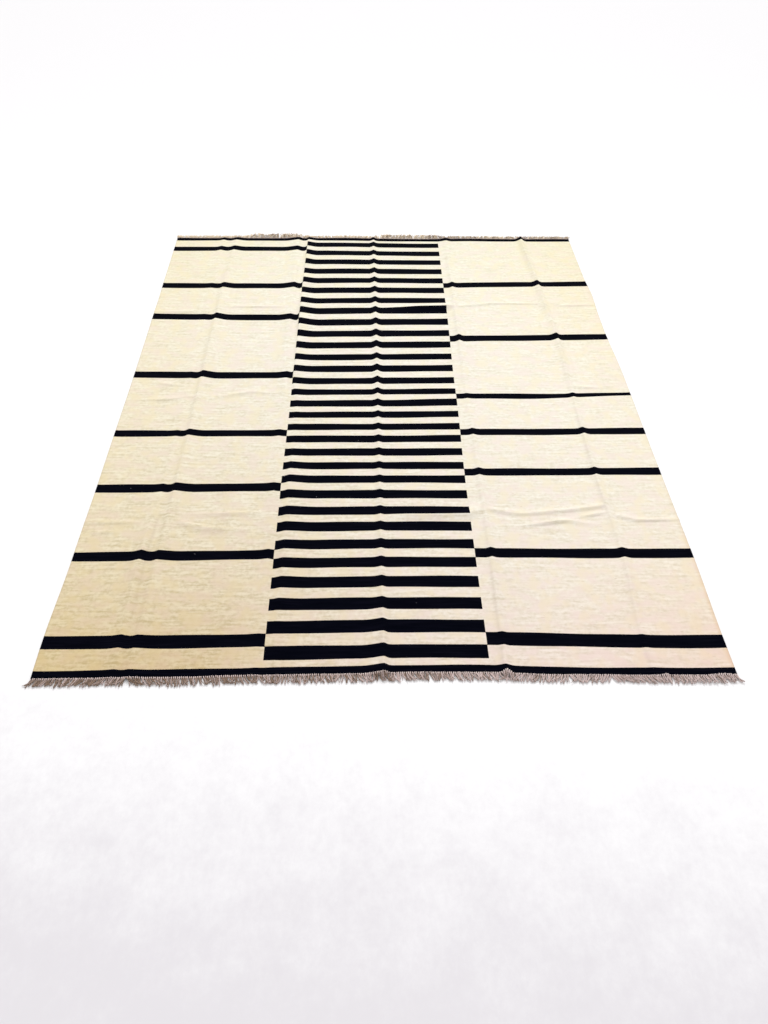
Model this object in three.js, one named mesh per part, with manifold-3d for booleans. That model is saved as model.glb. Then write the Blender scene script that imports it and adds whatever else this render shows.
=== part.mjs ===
// A flat-woven rug lying on a floor, creased where it was folded, with a knotted fringe at each end.
// Millimetres. X runs across the rug, Y along it and Z up, and the near end is at -Y.

import * as THREE from 'three';
import { mergeVertices } from 'three/addons/utils/BufferGeometryUtils.js';
import Module from 'manifold-3d';

const wasm = await Module();
wasm.setup();

// Driving dimensions of the cloth
const WIDTH = 1800;
const LENGTH = 2300;
const THICKNESS = 3;

// Driving dimensions of the fringe: a narrow row of knots, and locks of yarn that grow from it. A lock
// comes down to the floor over its fall, a share of its length, or further out where a crease lifts it
const GAP = 0.3;
const KNOT_ROW_WIDTH = 4;
const LOCKS_PER_END = 100;
const LOCK = { root: 8, middle: 10, tip: 6, height: 2.2, tipHeight: 1.4, inset: 0.7 };
const LOCK_FALL = 0.34;
const LOCK_CLEAR = 5;
const NEAR_LOCK_LENGTH = 27;
const FAR_LOCK_LENGTH = 24;

// Grid of the cloth: flat bays between the creases are shared evenly
const BAY_COLUMNS = 2;
const BAY_ROWS = 8;
const FLANK = 0.42;

// How far each side edge stands to the right of its straight line, at places along the cloth
const SIDE_EDGES = [
  { y: -1150, left: -4, right: 2 },
  { y: -1040, left: -5, right: 2 },
  { y: -745, left: 2, right: 7 },
  { y: -400, left: 5, right: 6 },
  { y: 100, left: 7, right: 8 },
  { y: 400, left: 6, right: 1 },
  { y: 500, left: 5, right: 2 },
  { y: 650, left: 5, right: 7 },
  { y: 800, left: 3, right: 0 },
  { y: 1150, left: 1, right: -2 },
];

// How far each end edge stands beyond its straight line, at places across the cloth
const END_EDGES = [
  { x: -900, near: -1, far: -12 },
  { x: -560, near: 2, far: -11 },
  { x: -330, near: 5, far: -5 },
  { x: -150, near: 7, far: 0 },
  { x: 60, near: 10, far: -1 },
  { x: 270, near: 8, far: 1 },
  { x: 420, near: 1, far: 6 },
  { x: 570, near: -2, far: 7 },
  { x: 740, near: -4, far: 9 },
  { x: 900, near: -4, far: 11 },
];

// Creases along the cloth: where the crest runs, how high it rises and how far each flank reaches
const LEFT_OUTER = [
  { y: -1150, x: -700, rise: 3, left: 40, right: 18 },
  { y: -1040, x: -703, rise: 6.5, left: 36, right: 22 },
  { y: -745, x: -704, rise: 9, left: 36, right: 22 },
  { y: -468, x: -690, rise: 3.5, left: 34, right: 14 },
  { y: -100, x: -686, rise: 2, left: 30, right: 14 },
  { y: 300, x: -688, rise: 1, left: 40, right: 16 },
  { y: 730, x: -693, rise: 2, left: 40, right: 22 },
  { y: 1044, x: -690, rise: 4.8, left: 28, right: 26 },
  { y: 1150, x: -686, rise: 4, left: 28, right: 22 },
];
const LEFT_QUARTER = [
  { y: -1150, x: -664, rise: 4, left: 16, right: 60 },
  { y: -900, x: -659, rise: 6.5, left: 17, right: 66 },
  { y: -468, x: -650, rise: 8.5, left: 18, right: 60 },
  { y: -210, x: -647, rise: 8, left: 16, right: 52 },
  { y: 300, x: -645, rise: 9.5, left: 16, right: 56 },
  { y: 560, x: -644, rise: 9, left: 15, right: 54 },
  { y: 730, x: -643, rise: 6.5, left: 17, right: 50 },
  { y: 1044, x: -632, rise: 6.5, left: 28, right: 50 },
  { y: 1150, x: -630, rise: 5, left: 28, right: 50 },
];
const LEFT_INNER = [
  { y: -1150, x: -345, rise: 1.5, left: 40, right: 22 },
  { y: -745, x: -341, rise: 4, left: 30, right: 18 },
  { y: -330, x: -346, rise: 3, left: 27, right: 20 },
  { y: 111, x: -341, rise: 4, left: 40, right: 18 },
  { y: 491, x: -352, rise: 4.5, left: 48, right: 30 },
  { y: 1150, x: -355, rise: 3.8, left: 36, right: 30 },
];
const LEFT_SEAM = [
  { y: -1150, x: -300, rise: 0.5, left: 14, right: 40 },
  { y: -1000, x: -303, rise: 1, left: 16, right: 40 },
  { y: -845, x: -301, rise: 5, left: 20, right: 48 },
  { y: -568, x: -304, rise: 3.3, left: 18, right: 58 },
  { y: -430, x: -303, rise: 6.5, left: 18, right: 58 },
  { y: -236, x: -296, rise: 0.8, left: 18, right: 40 },
  { y: -48, x: -295, rise: 1.5, left: 18, right: 30 },
  { y: 80, x: -303, rise: 5, left: 17, right: 66 },
  { y: 330, x: -300, rise: 5, left: 17, right: 50 },
  { y: 460, x: -299, rise: 13, left: 20, right: 84 },
  { y: 620, x: -302, rise: 7.5, left: 16, right: 72 },
  { y: 701, x: -303, rise: 4, left: 18, right: 36 },
  { y: 780, x: -300, rise: 5.5, left: 16, right: 56 },
  { y: 858, x: -306, rise: 0.5, left: 12, right: 26 },
  { y: 980, x: -302, rise: 7.5, left: 14, right: 40 },
  { y: 1150, x: -300, rise: 4.5, left: 14, right: 40 },
];
const CENTRE = [
  { y: -1150, x: -12, rise: 12, left: 60, right: 17 },
  { y: -1000, x: -12, rise: 10, left: 56, right: 17 },
  { y: -850, x: -12, rise: 6.5, left: 26, right: 16 },
  { y: -430, x: -11, rise: 5, left: 18, right: 16 },
  { y: -110, x: -10, rise: 6, left: 18, right: 16 },
  { y: 60, x: -9, rise: 9.5, left: 22, right: 20 },
  { y: 700, x: -9, rise: 8.5, left: 22, right: 20 },
  { y: 1150, x: -9, rise: 7, left: 20, right: 18 },
];
const RIGHT_INNER = [
  { y: -1150, x: 301, rise: 10, left: 30, right: 30 },
  { y: -1044, x: 306, rise: 5, left: 18, right: 16 },
  { y: -740, x: 310, rise: 6.5, left: 16, right: 20 },
  { y: -300, x: 311, rise: 6.5, left: 20, right: 22 },
  { y: 0, x: 310, rise: 3, left: 18, right: 24 },
  { y: 362, x: 315, rise: 8.5, left: 22, right: 20 },
  { y: 758, x: 320, rise: 6.5, left: 18, right: 22 },
  { y: 1150, x: 324, rise: 5.5, left: 40, right: 28 },
];
const RIGHT_QUARTER = [
  { y: -1150, x: 690, rise: 1.5, left: 18, right: 18 },
  { y: -1044, x: 683, rise: 3.5, left: 18, right: 20 },
  { y: -740, x: 699, rise: 7.5, left: 20, right: 26 },
  { y: -396, x: 691, rise: 6.5, left: 18, right: 20 },
  { y: -198, x: 691, rise: 8, left: 20, right: 22 },
  { y: 0, x: 695, rise: 5, left: 22, right: 18 },
  { y: 362, x: 701, rise: 10.5, left: 28, right: 18 },
  { y: 758, x: 688, rise: 11, left: 26, right: 20 },
  { y: 1150, x: 672, rise: 13, left: 30, right: 22 },
];

// All of them from left to right, in groups that lie close side by side
const CREASE_GROUPS = [
  [LEFT_OUTER, LEFT_QUARTER],
  [LEFT_INNER, LEFT_SEAM],
  [CENTRE],
  [RIGHT_INNER],
  [RIGHT_QUARTER],
];
const LONG_CREASES = CREASE_GROUPS.flat();

// Creases across the cloth: where the crest runs, how high it rises and how far both flanks reach
const NEAR_CROSS = [
  { x: -900, y: -617, rise: 1.5, reach: 22 },
  { x: -675, y: -580, rise: 2, reach: 24 },
  { x: -608, y: -614, rise: 4, reach: 24 },
  { x: -520, y: -638, rise: 4.5, reach: 26 },
  { x: -410, y: -640, rise: 1, reach: 24 },
  { x: -200, y: -610, rise: 0.3, reach: 24 },
  { x: -30, y: -592, rise: 0.3, reach: 26 },
  { x: 70, y: -588, rise: 5, reach: 30 },
  { x: 262, y: -583, rise: 8, reach: 32 },
  { x: 330, y: -570, rise: 4, reach: 28 },
  { x: 417, y: -586, rise: 4.5, reach: 24 },
  { x: 601, y: -565, rise: 4.5, reach: 24 },
  { x: 690, y: -552, rise: 3, reach: 22 },
  { x: 780, y: -612, rise: 3.5, reach: 20 },
  { x: 900, y: -608, rise: 1.5, reach: 20 },
];
const MIDDLE_CROSS = [
  { x: -900, y: -33, rise: 1.5, reach: 22 },
  { x: -750, y: -33, rise: 3, reach: 22 },
  { x: -665, y: -13, rise: 2, reach: 20 },
  { x: -520, y: -3, rise: 3.5, reach: 22 },
  { x: -430, y: 12, rise: 3, reach: 20 },
  { x: -340, y: 8, rise: 0.5, reach: 20 },
  { x: 0, y: 15, rise: 0.3, reach: 20 },
  { x: 200, y: 24, rise: 2.5, reach: 22 },
  { x: 300, y: 30, rise: 1, reach: 20 },
  { x: 690, y: 55, rise: 1.5, reach: 20 },
  { x: 755, y: 47, rise: 3.5, reach: 20 },
  { x: 900, y: 47, rise: 0.5, reach: 20 },
];
const FAR_CROSS = [
  { x: -900, y: 526, rise: 1.5, reach: 22 },
  { x: -780, y: 527, rise: 3, reach: 22 },
  { x: -665, y: 540, rise: 1.5, reach: 22 },
  { x: -500, y: 569, rise: 3.5, reach: 22 },
  { x: -340, y: 571, rise: 1, reach: 22 },
  { x: 30, y: 566, rise: 0.3, reach: 28 },
  { x: 100, y: 570, rise: 3, reach: 32 },
  { x: 160, y: 573, rise: 8, reach: 34 },
  { x: 285, y: 580, rise: 12, reach: 36 },
  { x: 345, y: 588, rise: 2, reach: 28 },
  { x: 470, y: 606, rise: 3.5, reach: 22 },
  { x: 690, y: 609, rise: 2.5, reach: 20 },
  { x: 760, y: 597, rise: 3.5, reach: 20 },
  { x: 900, y: 604, rise: 1.5, reach: 20 },
];
const CROSS_CREASES = [NEAR_CROSS, MIDDLE_CROSS, FAR_CROSS];

// Where the far fringe is longer than its usual length, how far to each side, and by how much
const LONG_TUFTS = [
  { x: -455, reach: 125, extra: 18 },
  { x: 160, reach: 130, extra: 16 },
];
const TUFT_SHOULDER = 30;

// The value of one column of a table at a place between its rows, eased so that it turns softly
function between(rows, along, place, column) {
  const next = rows.findIndex((row) => row[along] > place);
  if (next === 0) return rows[0][column];
  if (next < 0) return rows[rows.length - 1][column];
  const before = rows[next - 1];
  const after = rows[next];
  const share = (place - before[along]) / (after[along] - before[along]);
  return THREE.MathUtils.lerp(before[column], after[column], THREE.MathUtils.smoothstep(share, 0, 1));
}

// The shape of a crease from its crest, where away is 0, to the end of its flank, where away is 1
function crestShape(away) {
  return away < 1 ? (1 - away) ** 1.6 : 0;
}

// How high the underside of the cloth stands above the floor
function lift(x, y) {
  const longwise = LONG_CREASES.map((crease) => {
    const off = x - between(crease, 'y', y, 'x');
    const reach = between(crease, 'y', y, off < 0 ? 'left' : 'right');
    return between(crease, 'y', y, 'rise') * crestShape(Math.abs(off) / reach);
  });
  const crosswise = CROSS_CREASES.map((crease) => {
    const off = y - between(crease, 'x', x, 'y');
    return between(crease, 'x', x, 'rise') * crestShape(Math.abs(off) / between(crease, 'x', x, 'reach'));
  });
  return Math.max(...longwise, ...crosswise);
}

function leftEdge(y) {
  return -WIDTH / 2 + between(SIDE_EDGES, 'y', y, 'left');
}

function rightEdge(y) {
  return WIDTH / 2 + between(SIDE_EDGES, 'y', y, 'right');
}

function nearEdge(x) {
  return -LENGTH / 2 + between(END_EDGES, 'x', x, 'near');
}

function farEdge(x) {
  return LENGTH / 2 + between(END_EDGES, 'x', x, 'far');
}

// Fills the bays between fixed places with evenly shared ones
function fillBays(fixed, perBay) {
  const places = [];
  fixed.forEach((bay, index) => {
    places.push(...bay);
    if (index === fixed.length - 1) return;
    const from = bay[bay.length - 1];
    const to = fixed[index + 1][0];
    for (let step = 1; step <= perBay; step += 1) {
      places.push(THREE.MathUtils.lerp(from, to, step / (perBay + 1)));
    }
  });
  return places;
}

// Places across the cloth of all its columns, at one place along it
function columnsAt(y) {
  const columnsOf = (crease) => {
    const crest = between(crease, 'y', y, 'x');
    const left = between(crease, 'y', y, 'left');
    const right = between(crease, 'y', y, 'right');
    return [crest - left, crest - left * FLANK, crest, crest + right * FLANK, crest + right];
  };
  const groups = CREASE_GROUPS.map((group) => group.flatMap(columnsOf));
  return fillBays([[leftEdge(y)], ...groups, [rightEdge(y)]], BAY_COLUMNS);
}

// Places along the cloth of all its rows, at one place across it
function rowsAt(x) {
  const creases = CROSS_CREASES.map((crease) => {
    const crest = between(crease, 'x', x, 'y');
    const reach = between(crease, 'x', x, 'reach');
    return [crest - reach, crest - reach * FLANK, crest, crest + reach * FLANK, crest + reach];
  });
  return fillBays([[nearEdge(x)], ...creases, [farEdge(x)]], BAY_ROWS);
}

// The point where a row and a column of the grid cross, on the floor
function crossing(row, column) {
  let x = columnsAt(0)[column];
  let y = rowsAt(x)[row];
  for (let pass = 0; pass < 3; pass += 1) {
    x = columnsAt(y)[column];
    y = rowsAt(x)[row];
  }
  return { x, y };
}

function geometryOf(points, faces) {
  const geometry = new THREE.BufferGeometry();
  geometry.setAttribute('position', new THREE.Float32BufferAttribute(points.flat(), 3));
  geometry.setIndex(faces.flat());
  geometry.computeVertexNormals();
  return geometry;
}

// A closed sheet: a top and an underside on the same grid, joined by a wall round the edge
function clothGeometry() {
  const rows = rowsAt(0).length;
  const columns = columnsAt(0).length;
  const points = [];
  const faces = [];
  const top = (row, column) => row * columns + column;
  const under = (row, column) => top(row, column) + rows * columns;
  for (const height of [THICKNESS, 0]) {
    for (let row = 0; row < rows; row += 1) {
      for (let column = 0; column < columns; column += 1) {
        const { x, y } = crossing(row, column);
        points.push([x, y, lift(x, y) + height]);
      }
    }
  }
  for (let row = 0; row + 1 < rows; row += 1) {
    for (let column = 0; column + 1 < columns; column += 1) {
      const corners = [[row, column], [row, column + 1], [row + 1, column + 1], [row + 1, column]];
      const [a, b, c, d] = corners.map((corner) => top(...corner));
      const [e, f, g, h] = corners.map((corner) => under(...corner));
      faces.push([a, b, c], [a, c, d], [e, g, f], [e, h, g]);
    }
  }
  const rim = [];
  for (let column = 0; column < columns - 1; column += 1) rim.push([0, column]);
  for (let row = 0; row < rows - 1; row += 1) rim.push([row, columns - 1]);
  for (let column = columns - 1; column > 0; column -= 1) rim.push([rows - 1, column]);
  for (let row = rows - 1; row > 0; row -= 1) rim.push([row, 0]);
  rim.forEach((corner, index) => {
    const next = rim[(index + 1) % rim.length];
    faces.push([under(...corner), under(...next), top(...next)]);
    faces.push([under(...corner), top(...next), top(...corner)]);
  });
  return geometryOf(points, faces);
}

// A closed solid through four-cornered sections, whose corners turn the same way round
function loft(sections) {
  const points = sections.flat();
  const faces = [];
  for (let step = 0; step + 1 < sections.length; step += 1) {
    for (let corner = 0; corner < 4; corner += 1) {
      const here = step * 4 + corner;
      const beside = step * 4 + ((corner + 1) % 4);
      faces.push([here, beside, beside + 4], [here, beside + 4, here + 4]);
    }
  }
  const last = (sections.length - 1) * 4;
  faces.push([0, 2, 1], [0, 3, 2], [last, last + 1, last + 2], [last, last + 2, last + 3]);
  return geometryOf(points, faces);
}

function solidOf(geometry) {
  geometry.deleteAttribute('normal');
  const merged = mergeVertices(geometry);
  return new wasm.Manifold(new wasm.Mesh({
    numProp: 3,
    vertProperties: merged.attributes.position.array,
    triVerts: new Uint32Array(merged.index.array),
  }));
}

function geometryFrom(solid) {
  const mesh = solid.getMesh();
  const geometry = new THREE.BufferGeometry();
  geometry.setAttribute('position', new THREE.BufferAttribute(mesh.vertProperties, 3));
  geometry.setIndex(new THREE.BufferAttribute(mesh.triVerts, 1));
  geometry.computeVertexNormals();
  return geometry;
}

// The row of knots: it follows the creases of the cloth's end, a small gap away from it
function knotRow(end) {
  const y = end.outward * LENGTH / 2;
  const inner = (x) => end.edge(x) + end.outward * GAP;
  const outer = (x) => inner(x) + end.outward * KNOT_ROW_WIDTH;
  const sections = columnsAt(y).map((x) => {
    const low = lift(x, end.edge(x));
    const [south, north] = [inner(x), outer(x)].sort((a, b) => a - b);
    return [
      [x, south, low],
      [x, north, low],
      [x, north, low + THICKNESS],
      [x, south, low + THICKNESS],
    ];
  });
  return loft(sections);
}

// One lock: from inside the knots it drops to the floor, lies level there and thins to its tip
function lockOf(end, index) {
  const side = end.outward * LENGTH / 2;
  const from = leftEdge(side) + LOCK.root;
  const to = rightEdge(side) - LOCK.root;
  const x = THREE.MathUtils.lerp(from, to, index / (LOCKS_PER_END - 1));
  const start = end.edge(x) + end.outward * (GAP + KNOT_ROW_WIDTH / 2);
  const low = lift(x, end.edge(x));
  const length = end.lengthAt(x, index);
  const drop = Math.max(length * LOCK_FALL, low + LOCK_CLEAR);
  const lean = leanOf(index);
  const section = (out, width, floorOf, height) => {
    const corners = [[-1, 0], [1, 0], [1, 1], [-1, 1]];
    const turned = end.outward > 0 ? [...corners].reverse() : corners;
    return turned.map(([aside, up]) => {
      const across = x + lean * out + aside * width / 2 * (up ? 0.7 : 1);
      return [across, start + end.outward * out, floorOf(across) + up * height];
    });
  };
  const rooted = (across) => lift(across, end.edge(across)) + LOCK.inset;
  const onFloor = () => 0;
  return loft([
    section(0, LOCK.root, rooted, THICKNESS - 2 * LOCK.inset),
    section(drop, LOCK.middle, onFloor, LOCK.height),
    section(length, LOCK.tip, onFloor, LOCK.tipHeight),
  ]);
}

// How far a lock leans to the right for each millimetre outward: in loose clumps, splayed at corners
function leanOf(index) {
  const clumps = 0.12 * Math.sin(0.9 * index) + 0.07 * Math.sin(2.1 * index + 1);
  const fromEnd = Math.min(index, LOCKS_PER_END - 1 - index);
  const splay = 0.55 * Math.max(0, 1 - fromEnd / 4);
  return index < LOCKS_PER_END / 2 ? clumps - splay : clumps + splay;
}

function nearLength(x, index) {
  return NEAR_LOCK_LENGTH + 2.5 * Math.sin(1.7 * index) + 2 * Math.sin(0.31 * index);
}

function farLength(x, index) {
  const tufts = LONG_TUFTS.map((tuft) => {
    const inside = tuft.reach - Math.abs(x - tuft.x);
    return tuft.extra * THREE.MathUtils.smoothstep(inside, 0, TUFT_SHOULDER);
  });
  return FAR_LOCK_LENGTH + Math.max(...tufts) + 3 * Math.sin(1.9 * index);
}

function fringeGeometry(end) {
  const pieces = [solidOf(knotRow(end))];
  for (let index = 0; index < LOCKS_PER_END; index += 1) {
    pieces.push(solidOf(lockOf(end, index)));
  }
  return geometryFrom(wasm.Manifold.union(pieces));
}

function named(name, geometry, material) {
  const mesh = new THREE.Mesh(geometry, material);
  mesh.name = name;
  return mesh;
}

const creamWool = new THREE.MeshStandardMaterial({ color: 0xe9d9b4, roughness: 0.95, metalness: 0 });
const marledYarn = new THREE.MeshStandardMaterial({ color: 0x9a8c80, roughness: 0.95, metalness: 0 });

const nearEnd = { outward: -1, edge: nearEdge, lengthAt: nearLength };
const farEnd = { outward: 1, edge: farEdge, lengthAt: farLength };

const rug = new THREE.Group();
rug.add(named('cloth', clothGeometry(), creamWool));
rug.add(named('fringe_near', fringeGeometry(nearEnd), marledYarn));
rug.add(named('fringe_far', fringeGeometry(farEnd), marledYarn));

// The middle of the whole rug, fringes and all, goes to the origin
const middle = new THREE.Box3().setFromObject(rug).getCenter(new THREE.Vector3());
rug.children.forEach((mesh) => mesh.position.set(-middle.x, -middle.y, 0));

export default rug;
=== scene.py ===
import math

import bpy
import numpy as np
from mathutils import Matrix, Vector


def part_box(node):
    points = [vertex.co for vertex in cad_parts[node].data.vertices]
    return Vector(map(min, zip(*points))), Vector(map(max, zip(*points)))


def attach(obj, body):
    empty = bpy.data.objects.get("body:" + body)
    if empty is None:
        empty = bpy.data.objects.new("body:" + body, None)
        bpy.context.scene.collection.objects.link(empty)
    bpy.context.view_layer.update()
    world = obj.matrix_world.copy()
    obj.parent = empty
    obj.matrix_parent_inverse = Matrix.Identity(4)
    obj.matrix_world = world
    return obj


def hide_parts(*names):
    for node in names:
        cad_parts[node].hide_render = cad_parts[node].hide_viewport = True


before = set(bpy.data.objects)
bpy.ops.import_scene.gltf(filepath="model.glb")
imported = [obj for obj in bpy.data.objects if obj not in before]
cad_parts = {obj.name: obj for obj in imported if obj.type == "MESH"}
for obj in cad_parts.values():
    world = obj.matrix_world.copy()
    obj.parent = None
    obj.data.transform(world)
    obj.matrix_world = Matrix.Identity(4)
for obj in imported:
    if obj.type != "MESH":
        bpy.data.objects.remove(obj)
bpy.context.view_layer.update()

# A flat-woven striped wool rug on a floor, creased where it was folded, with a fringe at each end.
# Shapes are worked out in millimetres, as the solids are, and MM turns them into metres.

MM = 0.001
body = "root"


def table(names, *rows):
    """A short table with named columns."""
    columns = zip(*rows)
    return {name: np.array(column, float) for name, column in zip(names.split(), columns)}


# Driving dimensions of the cloth, which are the solid's
WIDTH = 1800
LENGTH = 2300
THICKNESS = 3

# The row frame's origin is the middle of rug and fringes, so all is shifted from the cloth's own
# middle. That is found from its solid's low corner, which bulges this far past the straight side.
# The solid's near end also bulges, by about 4 mm. That isn't taken off, so all that this script
# makes lies about 4 mm nearer to the near end than the solids do
SIDE_OVERHANG = 6
cloth_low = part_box("cloth")[0]
SHIFT = Vector((
    cloth_low.x + (WIDTH / 2 + SIDE_OVERHANG) * MM,
    cloth_low.y + LENGTH / 2 * MM,
    0,
))

# How far each side edge stands to the right of its straight line, at places along the cloth
SIDE_EDGES = table(
    "y left right",
    (-1150, -4, 2),
    (-1040, -5, 2),
    (-745, 2, 7),
    (-400, 5, 6),
    (100, 7, 8),
    (400, 6, 1),
    (500, 5, 2),
    (650, 5, 7),
    (800, 3, 0),
    (1150, 1, -2),
)

# Where the centre column meets the left and the right one
SEAMS = table(
    "y left right",
    (-1150, -325, 262),
    (-500, -323, 263),
    (0, -318, 272),
    (600, -315, 282),
    (1150, -308, 286),
)

# Bands and stripes along the middle of the centre column, from the near end: each black width and
# the cream width after it
NEAR_END = -1143
NEAR_BAND = (24, 23)
STRIPES = (
    (41, 40), (40, 36), (39, 37), (38, 34), (36, 34), (35, 35), (36, 30), (34, 36),
    (35, 34), (32, 31), (32, 32), (34, 32), (33, 30), (31, 33), (32, 29), (34, 32),
    (30, 32), (35, 37), (38, 36), (36, 40), (40, 37), (40, 39), (42, 40), (44, 35),
    (39, 40), (42, 38), (40, 36), (42, 38), (40, 39), (39, 36), (38, 21),
)
FAR_BAND = 24
# The side columns' stripes fill these gaps of the centre column, counted by the stripe before them
LEFT_STRIPES = (1, 5, 9, 13, 18, 23, 26, 30)
RIGHT_STRIPES = (1, 5, 10, 13, 16, 21, 26)

# The weft's wander: how far a row of the weave that passes y in the centre column lies beyond it
# at places across the cloth
WEFT_PLACES = (-900, -560, -330, -150, 60, 270, 420, 570, 740, 900)
WEFT_WANDER = (
    (-1140, (-8, -5, -2, 0, 3, 1, -6, -9, -11, -11)),
    (-1035, (-5, -5, -2, 0, 1, -1, -5, -10, -15, -15)),
    (-738, (-12, -8, -4, 0, 2, 1, -1, -3, -3, -3)),
    (-463, (-10, -6, -2, 0, 1, 0, 2, 2, 4, 5)),
    (-205, (-7, -5, -2, 0, 1, 5, 6, 7, 11, 13)),
    (-63, (-5, -5, -3, 0, 2, 8, 10, 12, 20, 26)),
    (-33, (-5, -5, -3, 0, 4, 13, 14, 15, 27, 37)),
    (3, (-5, -5, -3, 0, 3, 8, 10, 9, 14, 19)),
    (115, (-3, -5, -2, 0, 4, 9, 13, 14, 21, 28)),
    (342, (-5, -8, -4, 0, 5, 10, 15, 18, 25, 31)),
    (501, (-8, -11, -8, 0, 5, 10, 15, 18, 24, 30)),
    (741, (-15, -12, -7, 0, 3, 4, 12, 18, 23, 29)),
    (1052, (-16, -8, -4, 0, -2, 0, 8, 8, 11, 15)),
    (1150, (-16, -11, -6, 0, -3, -1, 6, 6, 9, 12)),
)

# Creases along the cloth: where the crest runs, how high it rises and how far each flank reaches
LEFT_OUTER = table(
    "y x rise left right",
    (-1150, -700, 3, 40, 18),
    (-1040, -703, 6.5, 36, 22),
    (-745, -704, 9, 36, 22),
    (-468, -690, 3.5, 34, 14),
    (-100, -686, 2, 30, 14),
    (300, -688, 1, 40, 16),
    (730, -693, 2, 40, 22),
    (1044, -690, 4.8, 28, 26),
    (1150, -686, 4, 28, 22),
)
LEFT_QUARTER = table(
    "y x rise left right",
    (-1150, -664, 4, 16, 60),
    (-900, -659, 6.5, 17, 66),
    (-468, -650, 8.5, 21, 60),
    (-210, -647, 8, 20, 52),
    (300, -645, 9.5, 21, 56),
    (560, -644, 9, 20, 54),
    (730, -643, 6.5, 20, 50),
    (1044, -632, 6.5, 28, 50),
    (1150, -630, 5, 28, 50),
)
LEFT_INNER = table(
    "y x rise left right",
    (-1150, -345, 1.5, 40, 22),
    (-745, -341, 4, 30, 18),
    (-330, -346, 3, 27, 20),
    (111, -341, 4, 40, 18),
    (491, -350, 6, 52, 24),
    (741, -348, 7, 64, 22),
    (1150, -350, 6.5, 64, 24),
)
LEFT_SEAM = table(
    "y x rise left right",
    (-1150, -300, 0.5, 14, 40),
    (-1000, -303, 1, 16, 40),
    (-845, -297, 6.5, 25, 90),
    (-568, -297, 6, 25, 100),
    (-430, -298, 7, 24, 80),
    (-236, -296, 0.8, 18, 40),
    (-48, -295, 1.5, 18, 30),
    (80, -312, 5.5, 13, 66),
    (330, -312, 6, 13, 56),
    (460, -311, 12.5, 14, 80),
    (620, -311, 9.5, 14, 70),
    (701, -310, 7, 14, 50),
    (780, -309, 8.5, 14, 60),
    (858, -309, 5, 12, 50),
    (980, -307, 8.5, 13, 50),
    (1150, -304, 6.5, 12, 46),
)
CENTRE = table(
    "y x rise left right",
    (-1150, -12, 12, 60, 17),
    (-1000, -12, 10, 56, 17),
    (-850, -12, 6.5, 26, 16),
    (-430, -11, 5, 18, 16),
    (-110, -10, 6, 18, 16),
    (60, -9, 9.5, 22, 20),
    (700, -9, 8.5, 22, 20),
    (1150, -9, 7, 20, 18),
)
RIGHT_INNER = table(
    "y x rise left right",
    (-1150, 301, 10, 30, 30),
    (-1044, 306, 5, 18, 16),
    (-740, 310, 6.5, 16, 20),
    (-300, 311, 6.5, 20, 22),
    (0, 310, 3, 18, 24),
    (362, 315, 8.5, 22, 20),
    (758, 320, 6.5, 18, 22),
    (1150, 324, 5.5, 40, 28),
)
RIGHT_QUARTER = table(
    "y x rise left right",
    (-1150, 690, 1.5, 18, 18),
    (-1044, 683, 3.5, 18, 20),
    (-740, 699, 7.5, 20, 26),
    (-396, 691, 6.5, 18, 20),
    (-198, 691, 8, 20, 22),
    (0, 695, 5, 22, 18),
    (362, 701, 10.5, 28, 18),
    (758, 688, 11, 26, 20),
    (1150, 672, 13, 30, 22),
)
LONG_CREASES = (LEFT_OUTER, LEFT_QUARTER, LEFT_INNER, LEFT_SEAM, CENTRE, RIGHT_INNER, RIGHT_QUARTER)

# Lines of painted shade beside the long creases' crests: which crease, how far to the right of its
# crest, and the share of painted shade there. Each line fades out within the reach given after the
# table
CREASE_SHADE_LINES = (
    (LEFT_OUTER, 17, table(
        "y share",
        (-1150, 0.13),
        (-900, 0.22),
        (-700, 0.28),
        (-560, 0.12),
        (-450, 0),
    )),
    (CENTRE, -8, table(
        "y share",
        (-1150, 0.22),
        (-900, 0.22),
        (-700, 0.13),
        (-450, 0.2),
        (0, 0),
    )),
    (RIGHT_INNER, -9, table(
        "y share",
        (-1150, 0.28),
        (-900, 0.26),
        (-700, 0.1),
        (-450, 0.04),
    )),
    (RIGHT_QUARTER, -8, table(
        "y share",
        (-1150, 0.16),
        (-900, 0.25),
        (-700, 0.1),
        (-450, 0.3),
        (-200, 0.28),
        (0, 0.16),
        (400, 0.08),
        (740, 0.08),
        (960, 0.22),
        (1150, 0.22),
    )),
)
CREASE_SHADE_REACH = 7

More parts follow.
